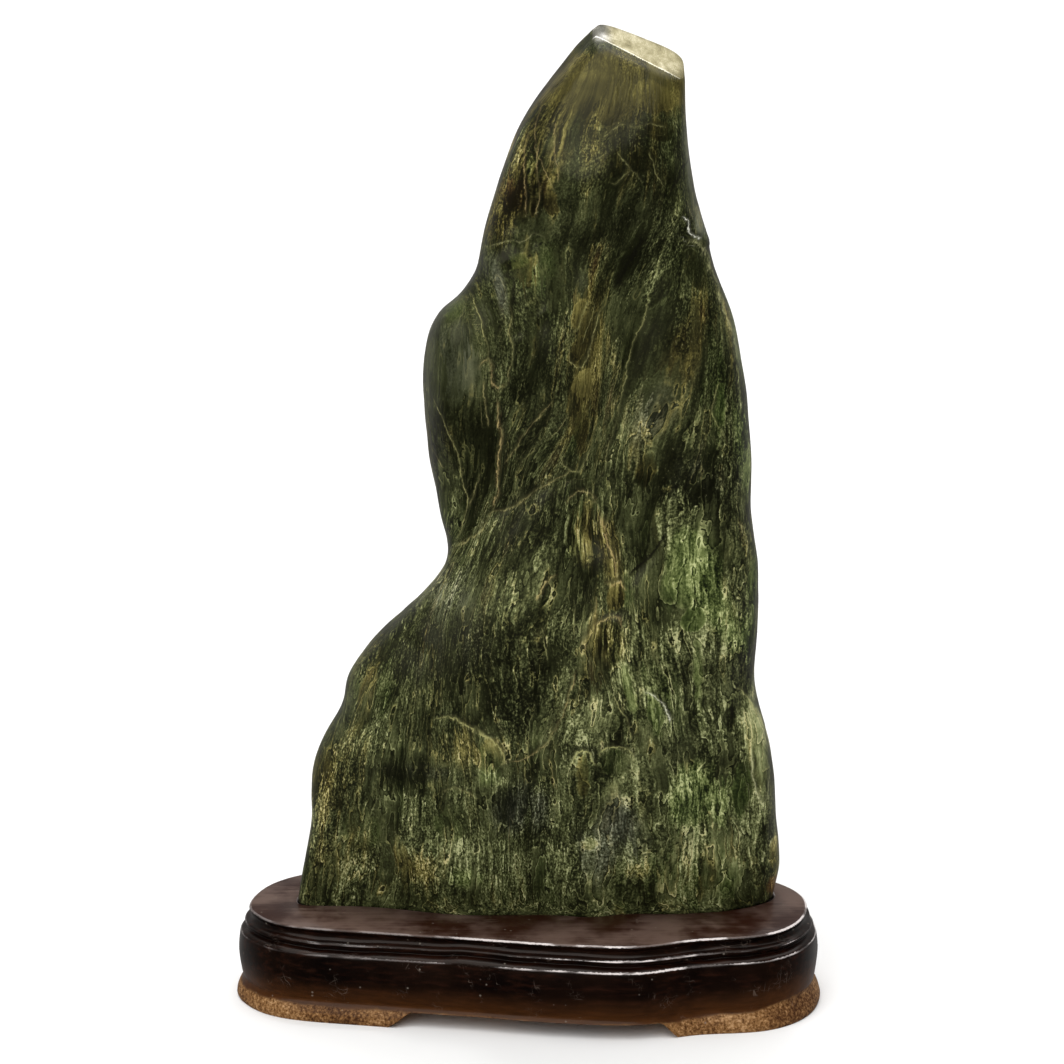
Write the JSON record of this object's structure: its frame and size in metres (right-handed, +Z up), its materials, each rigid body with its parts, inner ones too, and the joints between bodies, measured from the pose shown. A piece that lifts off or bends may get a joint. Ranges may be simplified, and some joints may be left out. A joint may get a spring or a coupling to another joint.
{
  "type": "scholar's rock on stand",
  "caption": "Upright polished green stone with a flat slanted summit, let into a low carved dark hardwood stand with stepped mouldings and worn feet.",
  "frame": {"origin": "middle of the object's box, on the surface the stand's feet rest on", "axes": "+Z up, front of the stone towards -Y, +X to the right seen from the front"},
  "size_m": [0.3016, 0.143, 0.4926],
  "materials": {
    "polished_stone": "polished veined green stone",
    "lacquered_wood": "dark lacquer, worn to bare wood at the feet"
  },
  "bodies": {
    "root": {"stone": "polished_stone", "stand": "lacquered_wood"}
  },
  "joints": []
}
